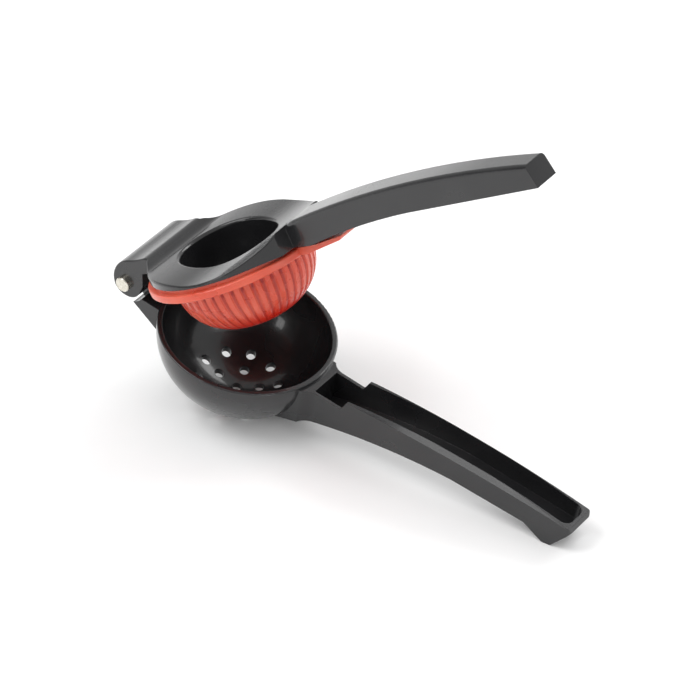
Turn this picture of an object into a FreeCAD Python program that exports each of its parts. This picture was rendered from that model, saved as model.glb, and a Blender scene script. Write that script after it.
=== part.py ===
import FreeCAD, Part
import math
import os

import Sketcher

# Hinged lemon squeezer, in millimetres, standing as it rests on a worktop.
# Both arms are drawn in the frame of the bowl: the origin is the bowl centre in the plane of
# its rim, X runs to the handles, Y along the hinge pin and Z up out of the rim. The upper arm
# is drawn closed. The placements at the end pitch the arms and swing the upper one open.

document = FreeCAD.newDocument("lemon_squeezer")
sheet = document.addObject("Spreadsheet::Sheet", "sizes")

driving_sizes = {
    # stance: how far the handle end dips, and how far the arms stand open
    "pitch": 11.0,
    "opening": 38.8,
    # bowl
    "rim_radius": 38.0,
    "rim_wall": 2.4,
    "bowl_corner_inset": 4.65,
    "bowl_crown_excess": 7.21,
    "bowl_side_height": 0.55,
    "drain_diameter": 4.2,
    "drain_ring_inner": 9.5,
    "drain_ring_outer": 17.0,
    "rest_flat_depth": 0.65,
    # hinge: the pin lies behind the rim and a little above it
    "hinge_behind_rim": 13.64,
    "hinge_rise": 4.2,
    "pin_diameter": 5.0,
    "pin_clearance": 0.05,
    "pin_head_diameter": 6.6,
    "pin_head_thickness": 2.1,
    "pin_head_chamfer": 0.3,
    "cap_grip": 1.3,
    "eye_radius": 4.8,
    "seat_radius": 9.65,
    "seat_low_angle": 60.0,
    "lug_half_width": 17.0,
    "lug_drop": 0.3,
    "lug_inset": 8.0,
    "lug_overlap": 1.0,
    "lug_slope": 28.0,
    "tongue_half_width": 10.0,
    "tongue_side_clearance": 0.3,
    "slot_clearance": 0.4,
    "stop_angle": 131.0,
    "knuckle_radius": 6.7,
    "knuckle_behind": 6.3,
    "knuckle_below": 6.9,
    "cheek_low_height": -0.7,
    "cheek_nose_run": 2.8,
    "cheek_nose_height": 1.4,
    "cheek_nose_reach": 2.7,
    "cheek_front_inset": 0.5,
    "hood_half_width": 18.2,
    "hood_height": 14.0,
    "hood_crest_ahead": 7.0,
    "hood_shoulder_behind": 3.4,
    "hood_shoulder_height": 10.3,
    "hood_front_inset": 2.3,
    "hood_foot_inset": 7.0,
    "hood_foot_height": 12.4,
    # lower handle, a channel that opens upwards
    "lower_root_half_width": 9.1,
    "lower_end_half_width": 7.95,
    "lower_end_corner": 2.2,
    "lower_root_inset": 14.0,
    "blend_run": 5.5,
    "blend_width": 3.0,
    "blend_bow": 0.8,
    "step_ahead": 17.8,
    "lower_step_run": 2.2,
    "lower_front_drop": 1.45,
    "lower_side_height": 3.5,
    "lower_end_x": 167.0,
    "lower_end_height": 8.55,
    "lower_end_thickness": 2.0,
    "lower_end_lean": 1.0,
    "lower_crest_bow": 4.4,
    "lower_side_bow": 1.6,
    "lower_wall": 1.4,
    "lower_root_depth": 23.9,
    "lower_waist_x": 110.4,
    "lower_waist_depth": 2.4,
    "lower_belly_bow": 3.2,
    "heel_x": 146.0,
    "heel_depth": 1.2,
    "foot_x": 157.7,
    "foot_length": 4.0,
    "channel_floor": 2.6,
    "channel_setback": 3.0,
    "channel_root_depth": 14.9,
    "channel_end_wall": 2.6,
    "channel_corner": 4.0,
    # plate and dish of the upper arm
    "closing_gap": 7.2,
    "saddle_height": 9.0,
    "saddle_rear_inset": 11.0,
    "saddle_rear_height": 10.8,
    "saddle_front_inset": 7.0,
    "saddle_front_height": 12.3,
    "shoulder_ahead": 1.6,
    "shoulder_rise_run": 1.4,
    "shoulder_rise_height": 16.0,
    "shoulder_run": 5.0,
    "shoulder_height": 18.7,
    "shoulder_half_width": 15.1,
    "shoulder_step": 0.8,
    "edge_round": 0.8,
    "dish_lip_round": 1.2,
    "dish_x": -3.0,
    "dish_radius": 21.3,
    "dish_corner_inset": 7.3,
    "dish_crown_excess": 46.0,
    "dish_floor": 3.0,
    # upper handle
    "upper_root_x": 49.9,
    "upper_root_half_width": 8.2,
    "upper_end_half_width": 6.0,
    "upper_end_x": 172.5,
    "upper_end_height": 29.4,
    "upper_end_depth": 9.6,
    "upper_end_lean": 2.3,
    "upper_top_bow": 4.2,
    "upper_belly_bow": 1.3,
    "upper_edge_round": 2.0,
    "upper_waist_x": 107.0,
    "upper_waist_height": 16.3,
    # press cup
    "cup_radius": 30.3,
    "cup_corner_inset": 8.3,
    "cup_crown_excess": 23.0,
    "cup_side_height": 2.15,
    "cup_wall": 2.2,
    "dome_clearance": 0.3,
    "flange_radius": 39.8,
    "flange_bottom": 2.0,
    "flange_top": 5.4,
    "flange_round": 0.7,
    "collar_radius": 37.2,
    "flute_count": 42,
    "flute_radius": 1.25,
    "flute_depth": 0.85,
    "flute_fade": 1.6,
    "flute_sweep": 62.0,
    "flute_top": 0.3,
    "dimple_radius": 1.0,
    "tab_half_width": 5.4,
    "tab_root_run": 4.0,
    "tab_bend_rise": 0.9,
    "tab_tip_undercut": 1.5,
    "tab_tip_x": 65.0,
    "tab_tip_height": 8.9,
    "tab_thickness": 1.9,
}


class Size:
    """A number of millimetres together with the sheet expression that it comes from."""

    def __init__(self, value, text):
        self.value = value
        self.text = text

    def __add__(self, other):
        other = as_size(other)
        return Size(self.value + other.value, f"({self.text} + {other.text})")

    def __sub__(self, other):
        other = as_size(other)
        return Size(self.value - other.value, f"({self.text} - {other.text})")

    def __mul__(self, other):
        other = as_size(other)
        return Size(self.value * other.value, f"({self.text} * {other.text})")

    def __truediv__(self, other):
        other = as_size(other)
        return Size(self.value / other.value, f"({self.text} / {other.text})")

    def __rsub__(self, other):
        return as_size(other) - self

    def __rtruediv__(self, other):
        return as_size(other) / self

    def __neg__(self):
        return Size(-self.value, f"(0 - {self.text})")

    __radd__ = __add__
    __rmul__ = __mul__


def as_size(item):
    if isinstance(item, Size):
        return item
    return Size(float(item), f"({float(item)!r})")


def root(item):
    return Size(math.sqrt(item.value), f"sqrt({item.text})")


def sine(angle):
    return Size(math.sin(math.radians(angle.value)), f"sin({angle.text})")


def cosine(angle):
    return Size(math.cos(math.radians(angle.value)), f"cos({angle.text})")


def tangent(angle):
    return sine(angle) / cosine(angle)


def fill_sheet():
    """Write the driving sizes to the sheet, and give them back as sizes."""
    found = {}
    for row, (name, value) in enumerate(driving_sizes.items(), start=1):
        sheet.set(f"A{row}", name)
        sheet.set(f"B{row}", str(value))
        sheet.setAlias(f"B{row}", name)
        found[name] = Size(float(value), f"sizes.{name}")
    document.recompute()
    return found


size = fill_sheet()
derived_count = 0


def keep(name, amount):
    """Give a worked-out size its own cell of the sheet."""
    global derived_count
    derived_count += 1
    cell = f"B{len(driving_sizes) + derived_count + 1}"
    sheet.set(cell.replace("B", "A"), name)
    sheet.set(cell, "=" + as_size(amount).text.replace("sizes.", ""))
    sheet.setAlias(cell, name)
    return Size(as_size(amount).value, f"sizes.{name}")


# Points in a sketch plane

def point_at(origin, reach, direction):
    """The point that lies a distance from the origin along a direction."""
    return (origin[0] + reach * direction[0], origin[1] + reach * direction[1])


def turned(direction, angle):
    """A direction turned anticlockwise by an angle."""
    x, y = direction
    return (x * cosine(angle) - y * sine(angle), x * sine(angle) + y * cosine(angle))


def quarter_turn(direction):
    return (-direction[1], direction[0])


def mixed(first, first_share, second, second_share):
    return (first[0] * first_share + second[0] * second_share,
            first[1] * first_share + second[1] * second_share)


def bowed(start, end, bow):
    """Radius of the arc between two points that swells by bow from their chord."""
    run = end[0] - start[0]
    rise = end[1] - start[1]
    return (run * run + rise * rise) / (8 * bow) + bow / 2


def leaving(start, end, bow):
    """The direction in which the bowed arc between two points leaves its start."""
    run = end[0] - start[0]
    rise = end[1] - start[1]
    chord = root(run * run + rise * rise)
    share = 2 * bow / chord
    cos_half = (1 - share * share) / (1 + share * share)
    sin_half = 2 * share / (1 + share * share)
    return ((run * cos_half + rise * sin_half) / chord, (rise * cos_half - run * sin_half) / chord)


def smooth_chain(name, direction, points):
    """Arcs through the points. Each arc leaves a point in the direction the last one had there."""
    found = []
    for place, (start, end) in enumerate(zip(points, points[1:])):
        run = end[0] - start[0]
        rise = end[1] - start[1]
        chord = keep(f"{name}_chord_{place}", run * run + rise * rise)
        across = direction[0] * rise - direction[1] * run
        along = 2 * (direction[0] * run + direction[1] * rise) / chord
        found.append(start + (keep(f"{name}_radius_{place}", chord / (2 * across)),))
        direction = (keep(f"{name}_way_x_{place}", along * run - direction[0]),
                     keep(f"{name}_way_z_{place}", along * rise - direction[1]))
    return found


# Sketches, features and their bindings

def bind(item, name, amount):
    item.setExpression(name, as_size(amount).text)


def new_body(label):
    body = document.addObject("PartDesign::Body", label)
    body.Label = label
    return body


def new_sketch(body, name, role):
    """A sketch on one of the body's own origin planes."""
    plane = next(item for item in body.Origin.OriginFeatures if item.Role == role)
    sketch = body.newObject("Sketcher::SketchObject", name)
    sketch.AttachmentSupport = (plane, [""])
    sketch.MapMode = "FlatFace"
    return sketch


def constrain(sketch, kind, places, amount):
    """Add a distance or radius and bind it to the sheet."""
    index = sketch.addConstraint(Sketcher.Constraint(kind, *places, abs(amount.value)))
    bind(sketch, f"Constraints[{index}]", amount)


def fix_point(sketch, place, point):
    """Hold a point at its distances from the sketch origin."""
    for kind, axis, amount in (("DistanceX", -2, point[0]), ("DistanceY", -1, point[1])):
        if abs(amount.value) < 1e-9:
            sketch.addConstraint(Sketcher.Constraint("PointOnObject", *place, axis))
        elif amount.value > 0:
            constrain(sketch, kind, (-1, 1, *place), amount)
        else:
            constrain(sketch, kind, (*place, -1, 1), -amount)


def arc_between(start, end, radius):
    """An arc of under half a circle. A positive radius has its centre on the left of the way."""
    first = FreeCAD.Vector(start[0].value, start[1].value, 0)
    last = FreeCAD.Vector(end[0].value, end[1].value, 0)
    chord = last - first
    left = FreeCAD.Vector(-chord.y, chord.x, 0).normalize()
    inward = math.sqrt(max(radius.value ** 2 - chord.Length ** 2 / 4, 0))
    side = 1 if radius.value > 0 else -1
    centre = (first + last) / 2 + left * inward * side
    if side < 0:
        first, last = last, first
    angles = [math.atan2(end_point.y - centre.y, end_point.x - centre.x) for end_point in (first, last)]
    circle = Part.Circle(centre, FreeCAD.Vector(0, 0, 1), abs(radius.value))
    return Part.ArcOfCircle(circle, angles[0], angles[1])


def draw_outline(sketch, points):
    """Draw a closed outline. A point is (x, y), or (x, y, radius) where an arc leaves it."""
    points = [tuple(as_size(item) for item in point) for point in points]
    ends = []
    for place, point in enumerate(points):
        following = points[(place + 1) % len(points)]
        if len(point) == 3:
            index = sketch.addGeometry(arc_between(point, following, point[2]))
            constrain_radius = point[2] if point[2].value > 0 else -point[2]
            ends.append((index, (1, 2) if point[2].value > 0 else (2, 1), constrain_radius))
        else:
            corners = [FreeCAD.Vector(item[0].value, item[1].value, 0) for item in (point, following)]
            index = sketch.addGeometry(Part.LineSegment(*corners))
            ends.append((index, (1, 2), None))
    for place, (index, (start_end, last_end), radius) in enumerate(ends):
        following = ends[(place + 1) % len(ends)]
        sketch.addConstraint(
            Sketcher.Constraint("Coincident", index, last_end, following[0], following[1][0]))
        fix_point(sketch, (index, start_end), points[place])
    for index, _, radius in ends:
        if radius is not None:
            constrain(sketch, "Radius", (index,), radius)


def draw_path(sketch, points):
    """Draw an open path in the way of draw_outline."""
    points = [tuple(as_size(item) for item in point) for point in points]
    previous = None
    for point, following in zip(points, points[1:]):
        if len(point) == 3:
            index = sketch.addGeometry(arc_between(point, following, point[2]))
            constrain(sketch, "Radius", (index,), point[2])
        else:
            corners = [FreeCAD.Vector(item[0].value, item[1].value, 0) for item in (point, following)]
            index = sketch.addGeometry(Part.LineSegment(*corners))
        fix_point(sketch, (index, 1), point)
        if previous is not None:
            sketch.addConstraint(Sketcher.Constraint("Coincident", previous, 2, index, 1))
        previous = index
    fix_point(sketch, (previous, 2), points[-1])


def draw_circle(sketch, centre, radius):
    centre = tuple(as_size(item) for item in centre)
    where = FreeCAD.Vector(centre[0].value, centre[1].value, 0)
    index = sketch.addGeometry(Part.Circle(where, FreeCAD.Vector(0, 0, 1), radius.value))
    fix_point(sketch, (index, 3), centre)
    constrain(sketch, "Radius", (index,), radius)


def side_pad(body, name, points, half_width):
    """Material of one side outline, out to a half width on both sides."""
    sketch = new_sketch(body, f"{name}_outline", "XZ_Plane")
    draw_outline(sketch, points)
    pad = body.newObject("PartDesign::Pad", name)
    pad.Profile = sketch
    pad.Midplane = True
    bind(pad, "Length", 2 * half_width)
    return pad


def side_pocket(body, name, points, half_width):
    sketch = new_sketch(body, f"{name}_outline", "XZ_Plane")
    draw_outline(sketch, points)
    pocket = body.newObject("PartDesign::Pocket", name)
    pocket.Profile = sketch
    pocket.Midplane = True
    bind(pocket, "Length", 2 * half_width)
    return pocket


def plan_trim(body, name, points, frame):
    """Cut away all that lies outside one plan outline."""
    sketch = new_sketch(body, f"{name}_outline", "XY_Plane")
    draw_outline(sketch, frame)
    draw_outline(sketch, points)
    pocket = body.newObject("PartDesign::Pocket", name)
    pocket.Profile = sketch
    pocket.Type = "ThroughAll"
    pocket.Midplane = True
    return pocket


def turned_profile(body, name, points, kind="PartDesign::Revolution", centre_x=0):
    """Material, or a cut, of one outline turned about an upright axis."""
    sketch = new_sketch(body, f"{name}_outline", "XZ_Plane")
    sketch.AttachmentOffset = FreeCAD.Placement()
    bind(sketch, ".AttachmentOffset.Base.x", centre_x)
    draw_outline(sketch, points)
    feature = body.newObject(kind, name)
    feature.Profile = sketch
    feature.ReferenceAxis = (sketch, ["V_Axis"])
    feature.Angle = 360
    return feature


def pin_hole(body, name, radius, half_width):
    sketch = new_sketch(body, f"{name}_outline", "XZ_Plane")
    draw_circle(sketch, hinge, radius)
    pocket = body.newObject("PartDesign::Pocket", name)
    pocket.Profile = sketch
    pocket.Midplane = True
    bind(pocket, "Length", 2 * half_width)
    return pocket


def meridian(radius, corner, crown, bottom, offset=0):
    """Half outline of a round cup, its side upright, then a corner arc, then a crown arc."""
    centre_x = radius - corner
    rise = root((crown - corner) * (crown - corner) - centre_x * centre_x)
    crown_height = crown - bottom
    corner_height = crown_height - rise
    share = (crown - offset) / (crown - corner)
    joint = (centre_x * share, crown_height - rise * share)
    return [
        (0, crown_height - crown + offset, crown - offset),
        joint + (corner - offset,),
        (radius - offset, corner_height),
    ]


# Shared places

bowl_corner = keep("bowl_corner", size["rim_radius"] - size["bowl_corner_inset"])
bowl_crown = keep("bowl_crown", bowl_corner + size["bowl_crown_excess"])
bowl_depth = keep("bowl_depth", bowl_crown + size["bowl_side_height"] - root(
    size["bowl_crown_excess"] * size["bowl_crown_excess"]
    - size["bowl_corner_inset"] * size["bowl_corner_inset"]))
cup_corner = keep("cup_corner", size["cup_radius"] - size["cup_corner_inset"])
cup_crown = keep("cup_crown", cup_corner + size["cup_crown_excess"])
cup_rise = keep("cup_rise", root(
    size["cup_crown_excess"] * size["cup_crown_excess"]
    - size["cup_corner_inset"] * size["cup_corner_inset"]))
cup_bottom = keep("cup_bottom", cup_crown + size["cup_side_height"] - cup_rise)
dish_corner = keep("dish_corner", size["dish_radius"] - size["dish_corner_inset"])
dish_crown = keep("dish_crown", dish_corner + size["dish_crown_excess"])
shoulder_x = keep("shoulder_x", size["rim_radius"] + size["shoulder_ahead"])
step_x = keep("step_x", size["rim_radius"] + size["step_ahead"])
channel_start_x = keep("channel_start_x", size["rim_radius"] + size["channel_setback"])

hood_meets_plate = keep("hood_meets_plate", -root(
    size["rim_radius"] * size["rim_radius"]
    - size["hood_half_width"] * size["hood_half_width"]))

hinge = (keep("hinge_x", -(size["rim_radius"] + size["hinge_behind_rim"])), size["hinge_rise"])
eye_share = size["eye_radius"] / size["seat_radius"]
flank_share = keep("flank_share", root(1 - eye_share * eye_share))

# seat: the hollow of the lower lug round the knuckle, from its low tip to its high edge
seat_low = (cosine(size["seat_low_angle"]), -sine(size["seat_low_angle"]))
seat_high_drop = (size["hinge_rise"] + size["lug_drop"]) / size["seat_radius"]
seat_high = (root(1 - seat_high_drop * seat_high_drop), -seat_high_drop)
seat_low_point = point_at(hinge, size["seat_radius"], seat_low)
seat_high_point = point_at(hinge, size["seat_radius"], seat_high)

# neck: the flanks of the tongue touch the eye where these directions point
rear_touch = mixed(seat_low, eye_share, quarter_turn(seat_low), -flank_share)
front_touch = mixed(seat_high, eye_share, quarter_turn(seat_high), flank_share)

# floor: how far the worktop lies under the rim centre once the arm is pitched
sin_pitch = sine(size["pitch"])
cos_pitch = cosine(size["pitch"])
crown_height = keep("crown_height", bowl_crown - bowl_depth)
floor_drop = keep("floor_drop", bowl_crown - crown_height * cos_pitch - size["rest_flat_depth"])

foot_height = keep("foot_height", (size["foot_x"] * sin_pitch - floor_drop) / cos_pitch)
foot_half = size["foot_length"] / 2
foot_rear = (size["foot_x"] - foot_half, foot_height - foot_half * tangent(size["pitch"]))
foot_front = (size["foot_x"] + foot_half, foot_height + foot_half * tangent(size["pitch"]))


# Lower arm: bowl, lug, tongue and channel handle in one casting

def lower_side_outline():
    inside_bowl = size["rim_radius"] - size["lower_root_inset"]
    belly_start = (inside_bowl, -size["lower_root_depth"])
    waist = (size["lower_waist_x"], -size["lower_waist_depth"])
    heel = (size["heel_x"], -size["heel_depth"])
    end_low = (size["lower_end_x"], size["lower_end_height"] - size["lower_end_thickness"])
    end_high = (size["lower_end_x"] - size["lower_end_lean"], size["lower_end_height"])
    step_high = (step_x + size["lower_step_run"] / 2, size["lower_side_height"])
    step_low = (step_x - size["lower_step_run"] / 2, -size["lower_front_drop"])
    return [
        (*belly_start, -bowed(belly_start, waist, size["lower_belly_bow"])),
        waist,
        heel,
        foot_rear,
        foot_front,
        end_low,
        end_high + (bowed(end_high, step_high, size["lower_crest_bow"]),),
        step_high,
        step_low,
        (inside_bowl, -size["lower_front_drop"]),
    ]


def frame_outline(start, end, half_width):
    """A plain box round a plan outline."""
    return [(start, -half_width), (end, -half_width), (end, half_width), (start, half_width)]


def lower_plan_outline():
    """The handle in plan: it flares into the bowl and has rounded corners at its end."""
    half = size["lower_root_half_width"]
    end_half = size["lower_end_half_width"]
    corner = size["lower_end_corner"]
    end = size["lower_end_x"]
    root_x = size["rim_radius"] + size["blend_run"] - size["bowl_side_height"]
    flare = (root_x - size["blend_run"], half + size["blend_width"])
    flare_radius = bowed(flare, (root_x, half), size["blend_bow"])
    inside_bowl = size["rim_radius"] - size["lower_root_inset"]
    return [
        (inside_bowl, -flare[1]),
        (flare[0], -flare[1], -flare_radius),
        (root_x, -half),
        (end - corner, -end_half, corner),
        (end, corner - end_half),
        (end, end_half - corner, corner),
        (end - corner, end_half),
        (root_x, half, -flare_radius),
        flare,
        (inside_bowl, flare[1]),
    ]


def make_lower_blank():
    body = new_body("lower_blank")
    side_pad(body, "lower_handle", lower_side_outline(),
             size["lower_root_half_width"] + size["blend_width"])
    plan_trim(body, "lower_taper", lower_plan_outline(),
              frame_outline(size["rim_radius"] / 4, size["lower_end_x"] * 1.1, size["rim_radius"]))
    lug_root = -(size["rim_radius"] - size["lug_inset"])
    lug_fall = (lug_root - seat_low_point[0]) * tangent(size["lug_slope"])
    side_pad(body, "lug", [
        seat_low_point,
        (lug_root, seat_low_point[1] - lug_fall),
        (lug_root, -size["lug_drop"]),
        seat_high_point + (-size["seat_radius"],),
    ], size["lug_half_width"])
    eye_back = (-root(as_size(0.5)), root(as_size(0.5)))
    side_pad(body, "tongue", [
        seat_low_point,
        (seat_high_point[0] + size["lug_overlap"], seat_low_point[1]),
        (seat_high_point[0] + size["lug_overlap"], -size["lug_drop"]),
        seat_high_point,
        point_at(hinge, size["eye_radius"], front_touch) + (size["eye_radius"],),
        point_at(hinge, size["eye_radius"], eye_back) + (size["eye_radius"],),
        point_at(hinge, size["eye_radius"], rear_touch),
    ], size["tongue_half_width"])
    bowl = (size["rim_radius"], bowl_corner, bowl_crown, bowl_depth)
    rim_round = size["bowl_side_height"]
    outside = meridian(*bowl)
    outside[-1] += (rim_round,)
    turned_profile(body, "bowl", outside + [(size["rim_radius"] - rim_round, 0), (0, 0)])
    cavity = meridian(*bowl, size["rim_wall"])
    cavity[-1] += (-rim_round,)
    mouth = size["rim_radius"] - size["rim_wall"] + rim_round
    cavity_top = size["rim_radius"] / 4
    turned_profile(body, "cavity", cavity + [
        (mouth, 0),
        (mouth, cavity_top),
        (0, cavity_top),
    ], "PartDesign::Groove")
    pin_hole(body, "tongue_bore", size["pin_diameter"] / 2 + size["pin_clearance"],
             size["tongue_half_width"] * 1.1)
    sketch = new_sketch(body, "drain_outline", "XY_Plane")
    draw_circle(sketch, (0, 0), size["drain_diameter"] / 2)
    for ring, count, offset in (("drain_ring_inner", 5, 36), ("drain_ring_outer", 10, 0)):
        for place in range(count):
            way = as_size(offset + place * 360 / count)
            draw_circle(sketch, (size[ring] * cosine(way), size[ring] * sine(way)),
                        size["drain_diameter"] / 2)
    drains = body.newObject("PartDesign::Pocket", "drains")
    drains.Profile = sketch
    drains.Type = "ThroughAll"
    return body


def make_channel_core():
    """The space inside the lower handle."""
    body = new_body("channel_core")
    inset = size["lower_wall"]
    start = channel_start_x
    end = size["lower_end_x"] - size["channel_end_wall"]
    top = size["lower_end_height"] * 2.5
    belly_start = (start, -size["channel_root_depth"])
    waist = (size["lower_waist_x"], size["channel_floor"] - size["lower_waist_depth"])
    side_pad(body, "channel_side", [
        (*belly_start, -bowed(belly_start, waist, size["lower_belly_bow"] * 0.7)),
        waist,
        (end, size["channel_floor"] - size["heel_depth"]),
        (end, top),
        (start, top),
    ], size["lower_root_half_width"])
    corner = size["channel_corner"]
    start_half = size["lower_root_half_width"] - inset
    end_half = size["lower_end_half_width"] - inset
    plan_trim(body, "channel_taper", [
        (start, -start_half),
        (end - corner, -end_half, corner),
        (end, corner - end_half),
        (end, end_half - corner, corner),
        (end - corner, end_half),
        (start, start_half),
    ], frame_outline(start / 2, end * 1.1, size["rim_radius"]))
    return body


def make_crest_cut(name, side):
    """The slanted cut that thins the outer top edge of one channel wall."""
    outer = size["lower_root_half_width"]
    climb = 1.75
    fall = (size["lower_root_half_width"] - size["lower_end_half_width"]) * climb
    rear = (step_x + size["lower_step_run"] / 4, size["lower_side_height"])
    front = (size["lower_end_x"] - size["lower_end_thickness"], size["lower_end_height"] - fall)
    top = size["lower_end_height"] * 2.5
    sketch = document.addObject("Sketcher::SketchObject", f"{name}_outline")
    sketch.Placement = FreeCAD.Placement(
        FreeCAD.Vector(), FreeCAD.Rotation(FreeCAD.Vector(1, 0, 0), 90))
    bind(sketch, ".Placement.Base.y", outer * side)
    draw_outline(sketch, [
        (rear[0], top),
        rear + (-bowed(rear, front, size["lower_side_bow"]),),
        front,
        (front[0], top),
    ])
    cut = document.addObject("Part::Extrusion", name)
    cut.Base = sketch
    cut.DirMode = "Custom"
    cut.Dir = FreeCAD.Vector(0, -side, climb)
    bind(cut, "LengthFwd", outer)
    cut.Solid = True
    return cut


def make_floor_block():
    """Everything below the worktop, as it lies against the pitched arm."""
    block = document.addObject("Part::Box", "floor_block")
    reach = size["rim_radius"] * 5
    bind(block, "Length", 2 * reach)
    bind(block, "Width", reach)
    bind(block, "Height", size["rim_radius"])
    turn = FreeCAD.Rotation(FreeCAD.Vector(0, -1, 0), size["pitch"].value)
    block.Placement = FreeCAD.Placement(FreeCAD.Vector(), turn)
    bind(block, ".Placement.Rotation.Angle", size["pitch"])
    depth = floor_drop + size["rim_radius"]
    bind(block, ".Placement.Base.x", depth * sin_pitch - reach * cos_pitch)
    bind(block, ".Placement.Base.y", -reach / 2)
    bind(block, ".Placement.Base.z", -(reach * sin_pitch) - depth * cos_pitch)
    return block


def make_lower_arm():
    blank = make_lower_blank()
    tools = document.addObject("Part::MultiFuse", "lower_cuts")
    tools.Shapes = [make_channel_core(), make_crest_cut("near_crest_cut", -1),
                    make_crest_cut("far_crest_cut", 1), make_floor_block()]
    arm = document.addObject("Part::Cut", "lower_arm")
    arm.Base = blank
    arm.Tool = tools
    arm.Label = "lower_arm"
    return arm


# Upper arm: hood, plate, dome and handle in one casting

def cup_corner_centre():
    """Where the corner arc of the cup has its centre."""
    return size["cup_corner_inset"], cup_crown - cup_bottom - cup_rise


def upper_side_outline():
    under = size["closing_gap"]
    root_low = (size["upper_root_x"], under)
    waist = (size["upper_waist_x"], size["upper_waist_height"])
    end_high = (size["upper_end_x"], size["upper_end_height"])
    end_low = (size["upper_end_x"] + size["upper_end_lean"],
               size["upper_end_height"] - size["upper_end_depth"])
    shoulder = (shoulder_x + size["shoulder_run"], size["shoulder_height"])
    rear_x = -size["rim_radius"]
    top_line = smooth_chain("top_line", leaving(end_high, shoulder, size["upper_top_bow"]), [
        end_high,
        shoulder,
        (shoulder_x - size["shoulder_rise_run"], size["shoulder_rise_height"]),
        (size["rim_radius"] - size["saddle_front_inset"], size["saddle_front_height"]),
        (as_size(0), size["saddle_height"]),
        (rear_x + size["saddle_rear_inset"], size["saddle_rear_height"]),
        (rear_x + size["hood_foot_inset"], size["hood_foot_height"]),
        (rear_x + size["hood_front_inset"], size["hood_height"]),
        (hinge[0] + size["hood_crest_ahead"], size["hood_height"]),
        (hinge[0] - size["hood_shoulder_behind"], size["hood_shoulder_height"]),
        (hinge[0] - size["knuckle_behind"], hinge[1]),
    ])
    knuckle = size["knuckle_radius"]
    nose = (-(size["flange_radius"] + size["cheek_nose_reach"]), size["cheek_nose_height"])
    return [
        (-(size["flange_radius"] - size["cheek_front_inset"]), under),
        root_low + (-bowed(root_low, waist, size["upper_belly_bow"]),),
        waist,
        end_low,
    ] + top_line + [
        (hinge[0] - size["knuckle_behind"], hinge[1], knuckle),
        (hinge[0], hinge[1] - size["knuckle_below"], knuckle),
        (nose[0] - size["cheek_nose_run"], size["cheek_low_height"]),
        nose,
    ]


def upper_plan_outline():
    """One plan outline, its near half drawn first and its far half mirrored."""
    radius = size["rim_radius"]
    half = size["hood_half_width"]
    shoulder_y = size["shoulder_half_width"]
    corner_x = shoulder_x
    reach = corner_x * corner_x + shoulder_y * shoulder_y
    along = radius * radius / reach
    across = radius * root(reach - radius * radius) / reach
    touch = (corner_x * along - shoulder_y * across, shoulder_y * along + corner_x * across)
    back = hinge[0] - 3 * size["knuckle_radius"]
    end = size["upper_end_x"] * 1.1
    near = [
        (back, -half),
        (hood_meets_plate, -half, radius),
        (touch[0], -touch[1]),
        (corner_x, -shoulder_y),
        (corner_x + size["shoulder_step"], -size["upper_root_half_width"]),
        (end, -size["upper_end_half_width"]),
    ]
    far = [
        (end, size["upper_end_half_width"]),
        (corner_x + size["shoulder_step"], size["upper_root_half_width"]),
        (corner_x, shoulder_y),
        touch + (radius,),
        (hood_meets_plate, half),
        (back, half),
    ]
    return near + far


def slot_outline():
    """Side outline of the slot that the tongue turns in, under the web of the hood."""
    radius = size["eye_radius"] + size["slot_clearance"]
    stop = turned(rear_touch, -size["stop_angle"])
    front = point_at(hinge, radius, front_touch)
    rear = point_at(hinge, radius, stop)
    down = quarter_turn(front_touch)
    out = quarter_turn(stop)
    reach = size["knuckle_radius"] * 2.5
    front_end = point_at(front, -reach, down)
    rear_end = point_at(rear, reach, out)
    return [
        rear + (-radius,),
        front,
        front_end,
        (rear_end[0], front_end[1]),
        rear_end,
    ]


def round_edges(body, name, radius, wanted):
    """Round the edges whose middle point passes a test. Upright and cross edges are left."""
    document.recompute()
    solid = body.Tip
    chosen = []
    for place, edge in enumerate(solid.Shape.Edges):
        middle = edge.valueAt((edge.FirstParameter + edge.LastParameter) / 2)
        flat_run = edge.BoundBox.XLength > size["bowl_side_height"].value / 10
        if flat_run and wanted(middle.x, abs(middle.y), middle.z):
            chosen.append(f"Edge{place + 1}")
    fillet = body.newObject("PartDesign::Fillet", name)
    fillet.Base = (solid, chosen)
    bind(fillet, "Radius", radius)


def round_upper_edges(body):
    """Round the top edges: first along the handle, then on the hood, then round the plate."""
    side = size["upper_end_half_width"].value * 0.9
    low = size["closing_gap"].value * 1.15
    rise = size["shoulder_rise_height"].value
    climb = ((size["upper_end_height"] - size["shoulder_height"])
             / (size["upper_end_x"] - shoulder_x)).value
    handle_start = (shoulder_x + size["shoulder_step"]).value
    round_edges(body, "handle_round", size["upper_edge_round"], lambda x, y, z: (
        x > handle_start and y > side and z > rise + (x - handle_start) * climb))
    hood_end = hood_meets_plate.value - size["bowl_side_height"].value / 10
    hood_start = (hinge[0] - size["hood_shoulder_behind"]).value
    round_edges(body, "hood_round", size["edge_round"], lambda x, y, z: (
        hood_start < x < hood_end and y > side and z > low))
    round_edges(body, "plate_round", size["edge_round"], lambda x, y, z: (
        hood_end < x < shoulder_x.value and y > side and z > low))


def round_dish_lip(body):
    near = (size["dish_radius"] - size["dish_lip_round"] / 10).value
    far = (size["dish_radius"] + size["dish_lip_round"] / 10).value
    low = size["closing_gap"].value * 1.15
    centre = size["dish_x"].value
    round_edges(body, "lip_round", size["dish_lip_round"], lambda x, y, z: (
        z > low and near < math.hypot(x - centre, y) < far))


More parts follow.
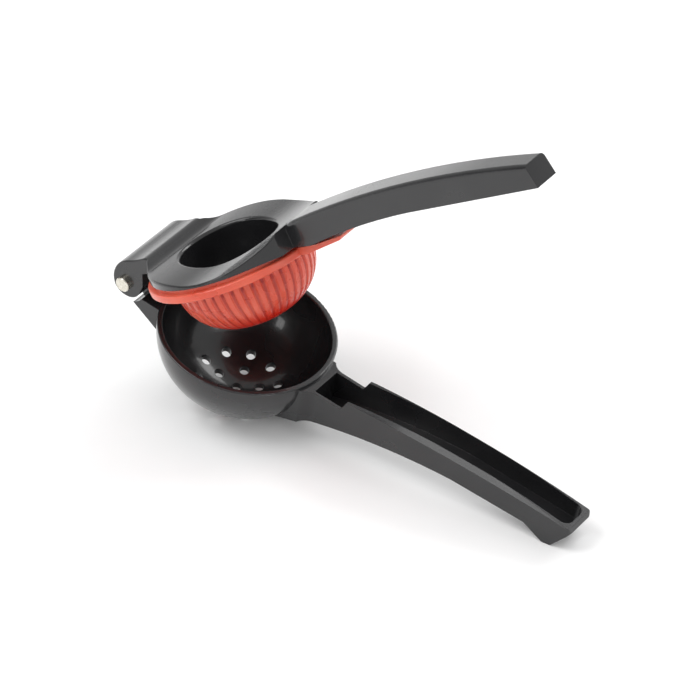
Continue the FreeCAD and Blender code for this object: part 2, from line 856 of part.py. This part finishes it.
def make_upper_arm():
    body = new_body("upper_arm")
    side_pad(body, "upper_side", upper_side_outline(), size["rim_radius"] * 1.1)
    plan_trim(body, "upper_plan", upper_plan_outline(),
              frame_outline(hinge[0] - 4 * size["knuckle_radius"], size["upper_end_x"] * 1.2,
                            size["rim_radius"] * 1.5))
    round_upper_edges(body)
    offset = size["cup_wall"] + size["dome_clearance"]
    dome_radius = size["cup_radius"] - offset
    dome_top = size["closing_gap"] + size["dome_clearance"]
    turned_profile(body, "dome", meridian(
        size["cup_radius"], cup_corner, cup_crown, cup_bottom, offset) + [
        (dome_radius, dome_top),
        (0, dome_top),
    ])
    dish_bottom = cup_bottom - offset - size["dish_floor"]
    top = size["hood_height"] * 2
    turned_profile(body, "dish", meridian(
        size["dish_radius"], dish_corner, dish_crown, dish_bottom) + [
        (size["dish_radius"], top),
        (0, top),
    ], "PartDesign::Groove", size["dish_x"])
    round_dish_lip(body)
    side_pocket(body, "tongue_slot", slot_outline(),
                size["tongue_half_width"] + size["tongue_side_clearance"])
    pin_hole(body, "cheek_bore", size["pin_diameter"] / 2, size["hood_half_width"] * 1.1)
    return body


# Press cup: the red fluted cup that fits over the dome

def make_press_cup():
    body = new_body("press_cup")
    cup = (size["cup_radius"], cup_corner, cup_crown, cup_bottom)
    edge = size["flange_round"]
    inner_radius = size["cup_radius"] - size["cup_wall"]
    turned_profile(body, "cup", meridian(*cup) + [
        (size["cup_radius"], size["flange_bottom"]),
        (size["flange_radius"] - edge, size["flange_bottom"], edge),
        (size["flange_radius"], size["flange_bottom"] + edge),
        (size["flange_radius"], size["flange_top"] - edge, edge),
        (size["flange_radius"] - edge, size["flange_top"]),
        (size["collar_radius"], size["flange_top"]),
        (size["collar_radius"], size["closing_gap"]),
        (0, size["closing_gap"]),
    ])
    turned_profile(body, "cup_space", meridian(*cup, size["cup_wall"]) + [
        (inner_radius, size["closing_gap"] * 2),
        (0, size["closing_gap"] * 2),
    ], "PartDesign::Groove")
    tip_low = (size["tab_tip_x"] - size["tab_tip_undercut"],
               size["tab_tip_height"] - size["tab_thickness"])
    tab_root = size["collar_radius"] - size["cup_wall"] / 2
    tip_high = (size["tab_tip_x"], size["tab_tip_height"])
    side_pad(body, "tab", [
        (tab_root, size["flange_bottom"]),
        (size["flange_radius"] + size["tab_root_run"], size["flange_bottom"] * 1.3),
        tip_low + (bowed(tip_low, tip_high, size["tab_thickness"] / 5),),
        tip_high,
        (size["upper_root_x"], size["flange_top"] + size["tab_bend_rise"]),
        (tab_root, size["flange_top"]),
    ], size["tab_half_width"])

    corner_centre, corner_height = cup_corner_centre()
    gap = size["flute_radius"] - size["flute_depth"]
    swing = keep("flute_swing", cup_corner + gap + size["flute_fade"])
    start_x = size["cup_radius"] + gap
    fading_end = (start_x - swing + swing * cosine(size["flute_sweep"]),
                  corner_height - swing * sine(size["flute_sweep"]))
    path = new_sketch(body, "flute_path", "XZ_Plane")
    draw_path(path, [fading_end + (swing,), (start_x, corner_height), (start_x, size["flute_top"])])
    ring = new_sketch(body, "flute_section", "XY_Plane")
    bind(ring, ".AttachmentOffset.Base.z", size["flute_top"])
    draw_circle(ring, (start_x, 0), size["flute_radius"])
    flute = body.newObject("PartDesign::SubtractivePipe", "flute")
    flute.Profile = ring
    flute.Spine = path
    repeat_round(body, "flutes", flute, ring)
    dimple = body.newObject("PartDesign::SubtractiveSphere", "dimple")
    bind(dimple, "Radius", size["dimple_radius"])
    bind(dimple, ".Placement.Base.x", size["cup_radius"])
    bind(dimple, ".Placement.Base.z", size["flute_top"])
    repeat_round(body, "dimples", dimple, ring)
    return body


def repeat_round(body, name, feature, ring):
    """Repeat a cut once for each flute."""
    document.recompute()
    pattern = body.newObject("PartDesign::PolarPattern", name)
    pattern.Originals = [feature]
    pattern.Axis = (ring, ["N_Axis"])
    pattern.Angle = 360
    bind(pattern, "Occurrences", size["flute_count"])
    pattern.Refine = False
    body.Tip = pattern


# Hinge pin and its cap

def pin_disc(body, name, radius, start, length):
    """A round step of the pin. The start is counted towards the near side."""
    sketch = new_sketch(body, f"{name}_outline", "XZ_Plane")
    bind(sketch, ".AttachmentOffset.Base.z", start)
    draw_circle(sketch, hinge, radius)
    pad = body.newObject("PartDesign::Pad", name)
    pad.Profile = sketch
    bind(pad, "Length", length)
    return pad


def make_hinge_pin():
    """A headed pin. Its head bears on the near cheek."""
    body = new_body("hinge_pin")
    shank = 2 * size["hood_half_width"] + size["cap_grip"]
    pin_disc(body, "shank", size["pin_diameter"] / 2,
             -(size["hood_half_width"] + size["cap_grip"]), shank)
    pin_disc(body, "head", size["pin_head_diameter"] / 2, size["hood_half_width"],
             size["pin_head_thickness"])
    break_rim(body, size["hood_half_width"] + size["pin_head_thickness"])
    return body


def make_pin_cap():
    """The cap pressed on the far end of the pin."""
    body = new_body("pin_cap")
    pin_disc(body, "cap", size["pin_head_diameter"] / 2,
             -(size["hood_half_width"] + size["pin_head_thickness"]), size["pin_head_thickness"])
    sketch = new_sketch(body, "cap_bore_outline", "XZ_Plane")
    bind(sketch, ".AttachmentOffset.Base.z", -(size["hood_half_width"] + size["cap_grip"]))
    draw_circle(sketch, hinge, size["pin_diameter"] / 2)
    bore = body.newObject("PartDesign::Pocket", "cap_bore")
    bore.Profile = sketch
    bore.Reversed = True
    bind(bore, "Length", size["cap_grip"])
    break_rim(body, -(size["hood_half_width"] + size["pin_head_thickness"]))
    return body


def break_rim(body, reach):
    """Chamfer the outer rim of a pin head, whose flat lies at this reach to the near side."""
    document.recompute()
    solid = body.Tip
    rims = [f"Edge{place + 1}" for place, edge in enumerate(solid.Shape.Edges)
            if abs(edge.BoundBox.YMin + reach.value) < 0.01
            and abs(edge.BoundBox.YMax + reach.value) < 0.01]
    chamfer = body.newObject("PartDesign::Chamfer", "rim_chamfer")
    chamfer.Base = (solid, rims)
    bind(chamfer, "Size", size["pin_head_chamfer"])


# Placements: pitch both arms, then swing what belongs to the upper one about the hinge

def place(item, angle_size, lift):
    """Turn an item about Y by an angle of the sheet and move it."""
    side = 1 if angle_size.value > 0 else -1
    amount = angle_size if side > 0 else -angle_size
    turn = FreeCAD.Rotation(FreeCAD.Vector(0, side, 0), amount.value)
    item.Placement = FreeCAD.Placement(FreeCAD.Vector(lift[0].value, 0, lift[1].value), turn)
    bind(item, ".Placement.Rotation.Angle", amount)
    bind(item, ".Placement.Base.x", lift[0])
    bind(item, ".Placement.Base.z", lift[1])


def pitched(point, angle):
    """A point of the arms after turning about Y."""
    return (point[0] * cosine(angle) + point[1] * sine(angle),
            point[1] * cosine(angle) - point[0] * sine(angle))


# Build

lower_arm = make_lower_arm()
upper_arm = make_upper_arm()
press_cup = make_press_cup()
hinge_pin = make_hinge_pin()
pin_cap = make_pin_cap()
upper_parts = [upper_arm, press_cup, hinge_pin, pin_cap]
sub_parts = [lower_arm] + upper_parts

flat_x = crown_height * sin_pitch
lower_lift = (-flat_x, floor_drop)
upper_angle = size["pitch"] - size["opening"]
hinge_pitched = pitched(hinge, size["pitch"])
hinge_swung = pitched(hinge, upper_angle)
upper_lift = (hinge_pitched[0] - hinge_swung[0] - flat_x,
              hinge_pitched[1] - hinge_swung[1] + floor_drop)
place(lower_arm, size["pitch"], lower_lift)
for item in upper_parts:
    place(item, upper_angle, upper_lift)
document.recompute()

for item in document.Objects:
    if "Invalid" in item.State or "Error" in item.State:
        raise RuntimeError(f"{item.Name} failed: {item.State}")
for item in sub_parts:
    if item.Shape.isNull() or not item.Shape.isValid() or len(item.Shape.Solids) != 1:
        raise RuntimeError(f"{item.Label} is not one valid solid")

os.makedirs("parts", exist_ok=True)
for item in sub_parts:
    item.Shape.exportStep(f"parts/{item.Label}.step")
    box = item.Shape.BoundBox
    print(f"{item.Label}: {item.Shape.Volume / 1000:.1f} cm3,",
          f"x {box.XMin:.1f} to {box.XMax:.1f}, y {box.YMin:.1f} to {box.YMax:.1f},",
          f"z {box.ZMin:.1f} to {box.ZMax:.1f}")
hinge_x = hinge_pitched[0] - flat_x
hinge_z = hinge_pitched[1] + floor_drop
print(f"hinge axis: x {hinge_x.value:.3f}, z {hinge_z.value:.3f}")
foot = pitched((size["foot_x"], foot_height), size["pitch"])
print(f"foot flat: x {(foot[0] - flat_x).value:.3f}, z {(foot[1] + floor_drop).value:.3f}")
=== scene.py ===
import math

import bpy
from mathutils import Matrix, Vector

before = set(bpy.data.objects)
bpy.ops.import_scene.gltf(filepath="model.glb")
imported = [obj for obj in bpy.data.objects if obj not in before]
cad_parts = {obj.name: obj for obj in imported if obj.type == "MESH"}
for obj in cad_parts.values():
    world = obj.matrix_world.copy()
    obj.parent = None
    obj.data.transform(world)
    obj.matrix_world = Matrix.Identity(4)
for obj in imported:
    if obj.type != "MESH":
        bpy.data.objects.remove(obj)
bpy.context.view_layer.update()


# Camera: the view of the photograph, from the front and the right, looking down

camera = {
    "target": (0.04448, 0.00935, 0.03889),
    "azimuth": 35.27,
    "elevation": 37.30,
    "roll": 0.113,
    "distance": 1.6149,
    "lens": 202.07,
    "sensor": 36.0,
    "clip": (0.05, 20),
}


def makeCamera():
    azimuth = math.radians(camera["azimuth"])
    elevation = math.radians(camera["elevation"])
    back = Vector((math.sin(azimuth) * math.cos(elevation),
                   -math.cos(azimuth) * math.cos(elevation),
                   math.sin(elevation)))
    right = Vector((math.cos(azimuth), math.sin(azimuth), 0))
    up = back.cross(right)
    roll = math.radians(camera["roll"])
    right, up = (right * math.cos(roll) + up * math.sin(roll),
                 up * math.cos(roll) - right * math.sin(roll))
    turn = Matrix((right, up, back)).transposed().to_4x4()
    eye = Vector(camera["target"]) + back * camera["distance"]
    data = bpy.data.cameras.new("studioCamera")
    data.lens = camera["lens"]
    data.sensor_width = camera["sensor"]
    data.clip_start, data.clip_end = camera["clip"]
    cameraObject = bpy.data.objects.new("studioCamera", data)
    cameraObject.matrix_world = Matrix.Translation(eye) @ turn
    bpy.context.scene.collection.objects.link(cameraObject)
    bpy.context.scene.camera = cameraObject


# Small helpers for node materials

cloudTone = (0.35, 0.7)  # noise values where the darker and the paler colour are reached
cloudSpread = (0.3, 0.7)  # noise values that give the lowest and highest roughness


def newMaterial(name):
    material = bpy.data.materials.new(name)
    material.use_nodes = True
    tree = material.node_tree
    tree.nodes.clear()
    output = tree.nodes.new("ShaderNodeOutputMaterial")
    shader = tree.nodes.new("ShaderNodeBsdfPrincipled")
    tree.links.new(shader.outputs["BSDF"], output.inputs["Surface"])
    return material, tree, shader


def addNode(tree, kind, inputs=None, **settings):
    node = tree.nodes.new(kind)
    for name, value in settings.items():
        setattr(node, name, value)
    for name, value in (inputs or {}).items():
        if isinstance(value, bpy.types.NodeSocket):
            tree.links.new(value, node.inputs[name])
        else:
            node.inputs[name].default_value = value
    return node


def mathNode(tree, operation, *values):
    return addNode(tree, "ShaderNodeMath", dict(enumerate(values)), operation=operation).outputs[0]


def rangeNode(tree, value, start, end, low=0.0, high=1.0, **settings):
    return addNode(tree, "ShaderNodeMapRange", {"Value": value, "From Min": start, "From Max": end,
                                                "To Min": low, "To Max": high},
                   **settings).outputs["Result"]


def objectNoise(tree, scale, detail=3.0, stretch=(1, 1, 1)):
    place = addNode(tree, "ShaderNodeTexCoord")
    mapping = addNode(tree, "ShaderNodeMapping", {"Vector": place.outputs["Object"],
                                                  "Scale": stretch})
    noise = addNode(tree, "ShaderNodeTexNoise", {"Vector": mapping.outputs["Vector"],
                                                 "Scale": scale, "Detail": detail})
    return noise.outputs["Fac"]


def rampNode(tree, source, stops):
    ramp = addNode(tree, "ShaderNodeValToRGB", {"Fac": source})
    elements = ramp.color_ramp.elements
    while len(elements) < len(stops):
        elements.new(0.5)
    for element, (place, colour) in zip(elements, stops):
        element.position = place
        element.color = (*colour, 1)
    return ramp.outputs["Color"]


def mixColours(tree, share, first, second):
    mix = tree.nodes.new("ShaderNodeMixRGB")
    for socket, value in zip(mix.inputs, (share, first, second)):
        if isinstance(value, bpy.types.NodeSocket):
            tree.links.new(value, socket)
        else:
            socket.default_value = (*value, 1)
    return mix.outputs["Color"]


def bumpNode(tree, height, depth, normal=None):
    bump = addNode(tree, "ShaderNodeBump", {"Height": height, "Distance": depth, "Strength": 1.0})
    if normal:
        tree.links.new(normal, bump.inputs["Normal"])
    return bump.outputs["Normal"]


def clouded(tree, shader, look, detail=3):
    # Roughness and colour drift together in soft clouds. The colour is left for the caller to link.
    cloud = objectNoise(tree, look["cloudScale"], detail)
    rough = rangeNode(tree, cloud, *cloudSpread, *look["roughness"])
    tree.links.new(rough, shader.inputs["Roughness"])
    return rampNode(tree, cloud, list(zip(cloudTone, (look["colour"], look["paleColour"]))))


# Gloss black enamel on the cast arms

enamel = {
    "colour": (0.010, 0.010, 0.011),
    "paleColour": (0.017, 0.017, 0.018),
    "roughness": (0.20, 0.30),
    "cloudScale": 40,
    "peelScale": 420,
    "peelDepth": 0.000012,
    "speckScale": 2600,
    "speckDepth": 0.000004,
    "specular": 0.38,
    "coat": 0.42,
    "coatRoughness": 0.07,
    "edgeRadius": 0.00035,
    "edgeSamples": 6,
}


def makeEnamel():
    material, tree, shader = newMaterial("blackEnamel")
    tree.links.new(clouded(tree, shader, enamel, 4), shader.inputs["Base Color"])
    edge = addNode(tree, "ShaderNodeBevel", {"Radius": enamel["edgeRadius"]},
                   samples=enamel["edgeSamples"])
    speck = objectNoise(tree, enamel["speckScale"], 1)
    fine = bumpNode(tree, speck, enamel["speckDepth"], edge.outputs["Normal"])
    peel = objectNoise(tree, enamel["peelScale"], 2)
    tree.links.new(bumpNode(tree, peel, enamel["peelDepth"], fine), shader.inputs["Normal"])
    shader.inputs["Specular IOR Level"].default_value = enamel["specular"]
    shader.inputs["Coat Weight"].default_value = enamel["coat"]
    shader.inputs["Coat Roughness"].default_value = enamel["coatRoughness"]
    return material


# Red nylon of the press cup: pale on the ribs, with painted shade in deep red down in the flutes
# and dimples, and a darker red towards the bottom. The shades follow the cup's own axis.

nylon = {
    "colour": (0.64, 0.080, 0.042),
    "paleColour": (0.74, 0.135, 0.080),
    # painted shade colour for the flutes and dimples
    "paintedShadeColour": (0.36, 0.006, 0.003),
    "lowColour": (0.56, 0.022, 0.010),
    "rimCentre": (-0.003196, 0, 0.069387),  # middle of the flange, on the cup's axis
    "tilt": -27.8,  # degrees about Y
    "fluteCount": 42,
    "fluteCore": (0.25, 1.0),  # cosine of the turn where the shade starts and is full
    "fluteShade": 0.62,
    "dimple": (-0.0036, -0.0024),  # heights on the cup's axis, as the next two
    "dimpleTop": 0.0014,
    "fullDepth": (-0.0120, -0.0215),
    "roughness": (0.24, 0.34),
    "cloudScale": 60,
    "grainScale": 1800,
    "grainDepth": 0.000006,
    "subsurface": 0.35,
    "subsurfaceScale": 0.003,
    "subsurfaceRadius": (1.0, 0.22, 0.14),
    "specular": 0.35,
    "transmission": 0.10,
    "coat": 0.15,
}


def makeNylon():
    material, tree, shader = newMaterial("redNylon")
    tone = clouded(tree, shader, nylon)
    place = addNode(tree, "ShaderNodeTexCoord")
    own = addNode(tree, "ShaderNodeMapping", {"Vector": place.outputs["Object"],
                                              "Location": nylon["rimCentre"],
                                              "Rotation": (0, math.radians(nylon["tilt"]), 0)},
                  vector_type="TEXTURE")
    parts = addNode(tree, "ShaderNodeSeparateXYZ", {"Vector": own.outputs["Vector"]})
    height = parts.outputs["Z"]
    bearing = mathNode(tree, "ARCTAN2", parts.outputs["Y"], parts.outputs["X"])
    wave = mathNode(tree, "COSINE", mathNode(tree, "MULTIPLY", bearing, nylon["fluteCount"]))
    # Painted shade: deep red laid into the flutes between the ribs, stopping above the dimples.
    fluteShadeMask = rangeNode(tree, wave, *nylon["fluteCore"], interpolation_type="SMOOTHSTEP")
    fluteShadeMask = mathNode(tree, "MULTIPLY", fluteShadeMask,
                     mathNode(tree, "LESS_THAN", height, nylon["dimpleTop"]))
    # Painted shade share: fluteShade down the flutes, full at the dimples.
    dimple = rangeNode(tree, height, *nylon["dimple"], nylon["fluteShade"])
    # Darker red towards the bottom of the cup.
    depth = rangeNode(tree, height, *nylon["fullDepth"], interpolation_type="SMOOTHSTEP")
    lower = mixColours(tree, depth, tone, nylon["lowColour"])
    colourWithPaintedShade = mixColours(tree, mathNode(tree, "MULTIPLY", fluteShadeMask, dimple), lower, nylon["paintedShadeColour"])
    tree.links.new(colourWithPaintedShade, shader.inputs["Base Color"])
    grain = objectNoise(tree, nylon["grainScale"], 2)
    tree.links.new(bumpNode(tree, grain, nylon["grainDepth"]), shader.inputs["Normal"])
    shader.inputs["Subsurface Weight"].default_value = nylon["subsurface"]
    shader.inputs["Subsurface Scale"].default_value = nylon["subsurfaceScale"]
    shader.inputs["Subsurface Radius"].default_value = nylon["subsurfaceRadius"]
    shader.inputs["Transmission Weight"].default_value = nylon["transmission"]
    shader.inputs["Specular IOR Level"].default_value = nylon["specular"]
    shader.inputs["Coat Weight"].default_value = nylon["coat"]
    return material


# Nickel-bright steel of the pin

steel = {
    "colour": (0.62, 0.59, 0.51),
    "paleColour": (0.78, 0.75, 0.67),
    "roughness": (0.20, 0.38),
    "cloudScale": 700,
    "turnScale": 5200,
    "turnStretch": (1, 0.05, 1),
    "turnDepth": 0.000004,
}


def makeSteel():
    material, tree, shader = newMaterial("pinSteel")
    tree.links.new(clouded(tree, shader, steel), shader.inputs["Base Color"])
    turning = objectNoise(tree, steel["turnScale"], 1, steel["turnStretch"])
    tree.links.new(bumpNode(tree, turning, steel["turnDepth"]), shader.inputs["Normal"])
    shader.inputs["Metallic"].default_value = 1.0
    return material


def dress(nodeName, material):
    node = bpy.data.objects[nodeName]
    if not node.data.materials:
        node.data.materials.append(material)
    for place in range(len(node.material_slots)):
        node.material_slots[place].material = material


# Floor, backdrop and lights. Seen directly the backdrop is white. In reflections the front side has
# a dim band under a bright overhead panel, the rear left a milder one and the right stays pale.

studio = {
    "floorSize": 6.0,
    "floorDrop": 0.0002,
    "floorColour": (0.93, 0.93, 0.93),
    "floorPaleColour": (0.9486, 0.9486, 0.9486),
    "floorGrainScale": 30,
    "floorGrain": (0.3, 0.7),
    "floorRoughness": 0.9,
    "floorFade": (0.7, 1.4),  # distances between which the floor turns white to the camera
    "worldLight": 0.80,
    "reflectedFront": [(0.50, 1.05), (0.535, 0.85), (0.60, 0.16), (0.76, 0.14), (0.84, 0.95),
                       (1.0, 0.75)],
    "reflectedRear": [(0.50, 0.95), (0.55, 0.72), (0.68, 0.60), (0.84, 0.75), (1.0, 0.75)],
    "reflectedRight": [(0.50, 1.0), (0.70, 0.85), (1.0, 0.75)],
    "rearSide": (-0.77, 0.64, 0),
    "rearStart": 0.15,
    "rearEnd": 0.65,
    "rightStart": 0.25,
    "rightEnd": 0.70,
    "lights": {
        "key": {"size": (1.2, 1.2), "power": 17, "place": (-0.95, -0.75, 1.7)},
        "rim": {"size": (1.4, 0.7), "power": 14, "place": (0.3, 1.6, 1.2)},
        "frontLeft": {"size": (0.35, 0.6), "power": 3.0, "place": (-0.35, -1.7, 0.75)},
        "frontRight": {"size": (0.35, 0.6), "power": 3.0, "place": (1.75, -0.15, 0.75)},
    },
}


def makeFloor():
    half = studio["floorSize"] / 2
    mesh = bpy.data.meshes.new("studioFloor")
    mesh.from_pydata([(-half, -half, 0), (half, -half, 0), (half, half, 0), (-half, half, 0)], [],
                     [(0, 1, 2, 3)])
    floor = bpy.data.objects.new("studioFloor", mesh)
    bpy.context.scene.collection.objects.link(floor)
    floor.location.z = -studio["floorDrop"]
    material, tree, shader = newMaterial("paleFloor")
    grain = objectNoise(tree, studio["floorGrainScale"])
    tones = (studio["floorColour"], studio["floorPaleColour"])
    tree.links.new(rampNode(tree, grain, list(zip(studio["floorGrain"], tones))),
                   shader.inputs["Base Color"])
    shader.inputs["Roughness"].default_value = studio["floorRoughness"]
    rays = addNode(tree, "ShaderNodeLightPath")
    place = addNode(tree, "ShaderNodeTexCoord")
    away = addNode(tree, "ShaderNodeVectorMath", {0: place.outputs["Object"]}, operation="LENGTH")
    fade = rangeNode(tree, away.outputs["Value"], *studio["floorFade"])
    share = mathNode(tree, "MULTIPLY", fade, rays.outputs["Is Camera Ray"])
    white = addNode(tree, "ShaderNodeEmission", {"Color": (1, 1, 1, 1), "Strength": 1.0})
    mix = addNode(tree, "ShaderNodeMixShader", {0: share, 1: shader.outputs["BSDF"],
                                                2: white.outputs["Emission"]})
    tree.links.new(mix.outputs["Shader"], tree.nodes["Material Output"].inputs["Surface"])
    mesh.materials.append(material)


def makeWorld():
    world = bpy.data.worlds.new("studioWorld")
    bpy.context.scene.world = world
    world.use_nodes = True
    tree = world.node_tree
    tree.nodes.clear()
    rays = addNode(tree, "ShaderNodeLightPath")
    place = addNode(tree, "ShaderNodeTexCoord")
    parts = addNode(tree, "ShaderNodeSeparateXYZ", {"Vector": place.outputs["Generated"]})
    height = rangeNode(tree, parts.outputs["Z"], -1.0, 1.0)
    front, rear, right = [rampNode(tree, height, [(where, (tone, tone, tone))
                                                  for where, tone in studio[name]])
                          for name in ("reflectedFront", "reflectedRear", "reflectedRight")]
    facing = addNode(tree, "ShaderNodeVectorMath", {0: place.outputs["Generated"],
                                                    1: studio["rearSide"]},
                     operation="DOT_PRODUCT")
    behind = rangeNode(tree, facing.outputs["Value"], studio["rearStart"], studio["rearEnd"])
    side = rangeNode(tree, parts.outputs["X"], studio["rightStart"], studio["rightEnd"])
    around = mixColours(tree, behind, front, rear)
    around = mixColours(tree, side, around, right)
    lit = studio["worldLight"]
    reflected = mixColours(tree, rays.outputs["Is Glossy Ray"], (lit, lit, lit), around)
    seen = mathNode(tree, "MAXIMUM", rays.outputs["Is Camera Ray"],
                    rays.outputs["Is Transmission Ray"])
    tone = mixColours(tree, seen, reflected, (1, 1, 1))
    background = addNode(tree, "ShaderNodeBackground", {"Color": tone})
    output = addNode(tree, "ShaderNodeOutputWorld")
    tree.links.new(background.outputs["Background"], output.inputs["Surface"])


def makeLights():
    for name, item in studio["lights"].items():
        light = bpy.data.lights.new(name + "Light", "AREA")
        light.shape = "RECTANGLE"
        light.size, light.size_y = item["size"]
        light.energy = item["power"]
        lightObject = bpy.data.objects.new(name + "Light", light)
        lightObject.location = item["place"]
        aim = Vector(camera["target"]) - lightObject.location
        lightObject.rotation_euler = aim.to_track_quat("-Z", "Y").to_euler()
        bpy.context.scene.collection.objects.link(lightObject)


makeCamera()
print("camera placed")

enamelMaterial = makeEnamel()
nylonMaterial = makeNylon()
steelMaterial = makeSteel()
for nodeName in ("lower_arm", "upper_arm"):
    dress(nodeName, enamelMaterial)
dress("press_cup", nylonMaterial)
for nodeName in ("hinge_pin", "pin_cap"):
    dress(nodeName, steelMaterial)
print("materials given")

makeFloor()
makeWorld()
makeLights()
bpy.context.scene.view_settings.view_transform = "Standard"
print("studio lit")
